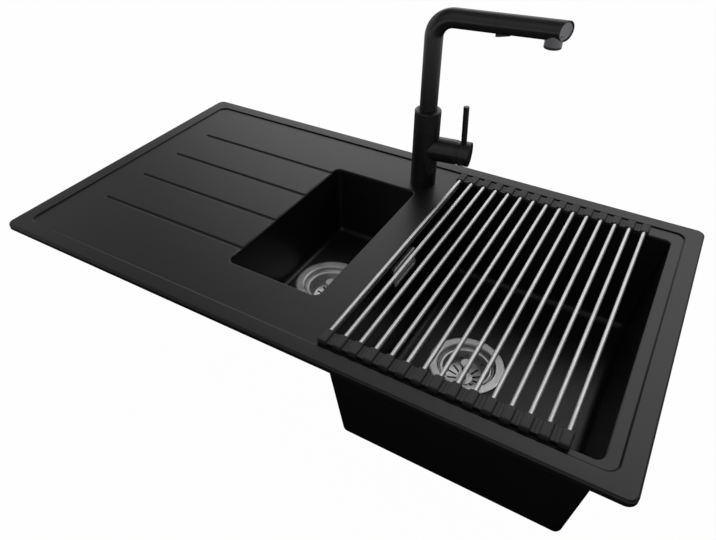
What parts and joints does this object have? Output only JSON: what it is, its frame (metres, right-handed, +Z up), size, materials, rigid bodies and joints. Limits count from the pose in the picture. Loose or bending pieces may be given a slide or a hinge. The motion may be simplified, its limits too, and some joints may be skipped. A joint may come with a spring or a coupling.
{
  "type": "kitchen sink",
  "caption": "Black granite composite inset sink with grooved drainer, half bowl and main bowl, basket strainers, black pull-out mixer tap and a roll-up drying rack.",
  "frame": {"origin": "middle of the rim's underside plane, where the rim lies on the worktop; it lies over the half bowl's opening", "axes": "+X along the sink from the drainer to the main bowl, +Y from the front edge to the back edge, +Z up"},
  "size_m": [0.91, 0.5, 0.5372],
  "materials": {
    "granite": "matte",
    "seal": "matte",
    "strainer": "satin",
    "cover": "polished",
    "waste": "satin",
    "tap_coat": "matte",
    "end_cap": "satin",
    "trim": "satin",
    "brass": "satin",
    "cartridge": "gloss",
    "steel": "satin",
    "rod": "satin",
    "grip": "matte"
  },
  "bodies": {
    "sink": {"sink_body": "granite", "rim_seal": "seal", "strainer_flanges": "strainer", "flange_gaskets": "seal", "lower_gaskets": "seal", "waste_body_main": "waste", "waste_body_half": "waste", "clamp_screws": "steel", "overflow_cover": "cover", "overflow_elbow": "waste", "tap_body": "tap_coat", "tap_shank": "brass", "shank_washer": "seal", "tap_locknut": "brass", "spout_bushing": "trim", "cartridge_body": "cartridge", "bonnet_nut": "brass"},
    "strainer_main": {"basket_main": "strainer"},
    "plug_main": {"basket_knob_main": "strainer"},
    "strainer_half": {"basket_half": "strainer"},
    "plug_half": {"basket_knob_half": "strainer"},
    "spout": {"spout_tube": "tap_coat"},
    "spray": {"spray_head": "tap_coat", "spray_end_cap": "end_cap", "spray_nozzle": "trim"},
    "button": {"diverter_button": "trim"},
    "carrier": {"cartridge_carrier": "cartridge"},
    "handle": {"cartridge_stem": "steel", "handle_cap": "tap_coat", "lever_pin": "tap_coat"},
    "link_01": {"rack_rod_01": "rod", "rack_grips_01": "grip"},
    "link_02": {"rack_rod_02": "rod", "rack_grips_02": "grip"},
    "link_03": {"rack_rod_03": "rod", "rack_grips_03": "grip"},
    "link_04": {"rack_rod_04": "rod", "rack_grips_04": "grip"},
    "link_05": {"rack_rod_05": "rod", "rack_grips_05": "grip"},
    "link_06": {"rack_rod_06": "rod", "rack_grips_06": "grip"},
    "link_07": {"rack_rod_07": "rod", "rack_grips_07": "grip"},
    "link_08": {"rack_rod_08": "rod", "rack_grips_08": "grip"},
    "link_09": {"rack_rod_09": "rod", "rack_grips_09": "grip"},
    "link_10": {"rack_rod_10": "rod", "rack_grips_10": "grip"},
    "link_11": {"rack_rod_11": "rod", "rack_grips_11": "grip"},
    "link_12": {"rack_rod_12": "rod", "rack_grips_12": "grip"},
    "link_13": {"rack_rod_13": "rod", "rack_grips_13": "grip"},
    "link_14": {"rack_rod_14": "rod", "rack_grips_14": "grip"},
    "link_15": {"rack_rod_15": "rod", "rack_grips_15": "grip"}
  },
  "joints": [
    {"name": "lift_strainer_main", "type": "slide", "parent": "sink", "child": "strainer_main", "axis": [0, 0, 1], "range_m": [0, 0.06]},
    {"name": "press_plug_main", "type": "slide", "parent": "strainer_main", "child": "plug_main", "axis": [0, 0, -1], "range_m": [0, 0.0098]},
    {"name": "lift_strainer_half", "type": "slide", "parent": "sink", "child": "strainer_half", "axis": [0, 0, 1], "range_m": [0, 0.16]},
    {"name": "press_plug_half", "type": "slide", "parent": "strainer_half", "child": "plug_half", "axis": [0, 0, -1], "range_m": [0, 0.0098]},
    {"name": "swing_spout", "type": "hinge", "parent": "sink", "child": "spout", "pos_m": [0.033, 0.174, 0.133], "axis": [0, 0, 1], "range_deg": [-198.5, 1.5]},
    {"name": "pull_spray", "type": "slide", "parent": "spout", "child": "spray", "axis": [0.989, 0.1478, 0], "range_m": [0, 0.15]},
    {"name": "press_button", "type": "slide", "parent": "spray", "child": "button", "axis": [0, 0, 1], "range_m": [0, 0.002], "stiffness_N_per_m": 500, "springref_m": -0.002},
    {"name": "turn_handle", "type": "hinge", "parent": "sink", "child": "carrier", "pos_m": [0.08245, 0.18139, 0.07], "axis": [0.989, 0.1478, 0], "range_deg": [-45, 45]},
    {"name": "tilt_handle", "type": "hinge", "parent": "carrier", "child": "handle", "pos_m": [0.08245, 0.18139, 0.07], "axis": [-0.1478, 0.989, 0], "range_deg": [0, 15]},
    {"name": "slide_rack", "type": "slide", "parent": "sink", "child": "link_01", "axis": [1, 0, 0], "range_m": [-0.028, 0.043]},
    {"name": "roll_02", "type": "hinge", "parent": "link_01", "child": "link_02", "pos_m": [0.0986, 0, 0.012], "axis": [0, -1, 0], "range_deg": [0, 12]},
    {"name": "roll_03", "type": "hinge", "parent": "link_02", "child": "link_03", "pos_m": [0.1192, 0, 0.012], "axis": [0, -1, 0], "range_deg": [0, 12]},
    {"name": "roll_04", "type": "hinge", "parent": "link_03", "child": "link_04", "pos_m": [0.1398, 0, 0.012], "axis": [0, -1, 0], "range_deg": [0, 12]},
    {"name": "roll_05", "type": "hinge", "parent": "link_04", "child": "link_05", "pos_m": [0.1604, 0, 0.012], "axis": [0, -1, 0], "range_deg": [0, 12]},
    {"name": "roll_06", "type": "hinge", "parent": "link_05", "child": "link_06", "pos_m": [0.181, 0, 0.012], "axis": [0, -1, 0], "range_deg": [0, 12]},
    {"name": "roll_07", "type": "hinge", "parent": "link_06", "child": "link_07", "pos_m": [0.2016, 0, 0.012], "axis": [0, -1, 0], "range_deg": [0, 12]},
    {"name": "roll_08", "type": "hinge", "parent": "link_07", "child": "link_08", "pos_m": [0.2222, 0, 0.012], "axis": [0, -1, 0], "range_deg": [0, 12]},
    {"name": "roll_09", "type": "hinge", "parent": "link_08", "child": "link_09", "pos_m": [0.2428, 0, 0.012], "axis": [0, -1, 0], "range_deg": [0, 12]},
    {"name": "roll_10", "type": "hinge", "parent": "link_09", "child": "link_10", "pos_m": [0.2634, 0, 0.012], "axis": [0, -1, 0], "range_deg": [0, 12]},
    {"name": "roll_11", "type": "hinge", "parent": "link_10", "child": "link_11", "pos_m": [0.284, 0, 0.012], "axis": [0, -1, 0], "range_deg": [0, 12]},
    {"name": "roll_12", "type": "hinge", "parent": "link_11", "child": "link_12", "pos_m": [0.3046, 0, 0.012], "axis": [0, -1, 0], "range_deg": [0, 12]},
    {"name": "roll_13", "type": "hinge", "parent": "link_12", "child": "link_13", "pos_m": [0.3252, 0, 0.012], "axis": [0, -1, 0], "range_deg": [0, 12]},
    {"name": "roll_14", "type": "hinge", "parent": "link_13", "child": "link_14", "pos_m": [0.3458, 0, 0.012], "axis": [0, -1, 0], "range_deg": [0, 12]},
    {"name": "roll_15", "type": "hinge", "parent": "link_14", "child": "link_15", "pos_m": [0.3664, 0, 0.012], "axis": [0, -1, 0], "range_deg": [0, 12]}
  ],
  "couplings": [
    {"joint": "roll_03", "follows": "roll_02", "ratio": 1},
    {"joint": "roll_04", "follows": "roll_02", "ratio": 1},
    {"joint": "roll_05", "follows": "roll_02", "ratio": 1},
    {"joint": "roll_06", "follows": "roll_02", "ratio": 1},
    {"joint": "roll_07", "follows": "roll_02", "ratio": 1},
    {"joint": "roll_08", "follows": "roll_02", "ratio": 1},
    {"joint": "roll_09", "follows": "roll_02", "ratio": 1},
    {"joint": "roll_10", "follows": "roll_02", "ratio": 1},
    {"joint": "roll_11", "follows": "roll_02", "ratio": 1},
    {"joint": "roll_12", "follows": "roll_02", "ratio": 1},
    {"joint": "roll_13", "follows": "roll_02", "ratio": 1},
    {"joint": "roll_14", "follows": "roll_02", "ratio": 1},
    {"joint": "roll_15", "follows": "roll_02", "ratio": 1}
  ]
}
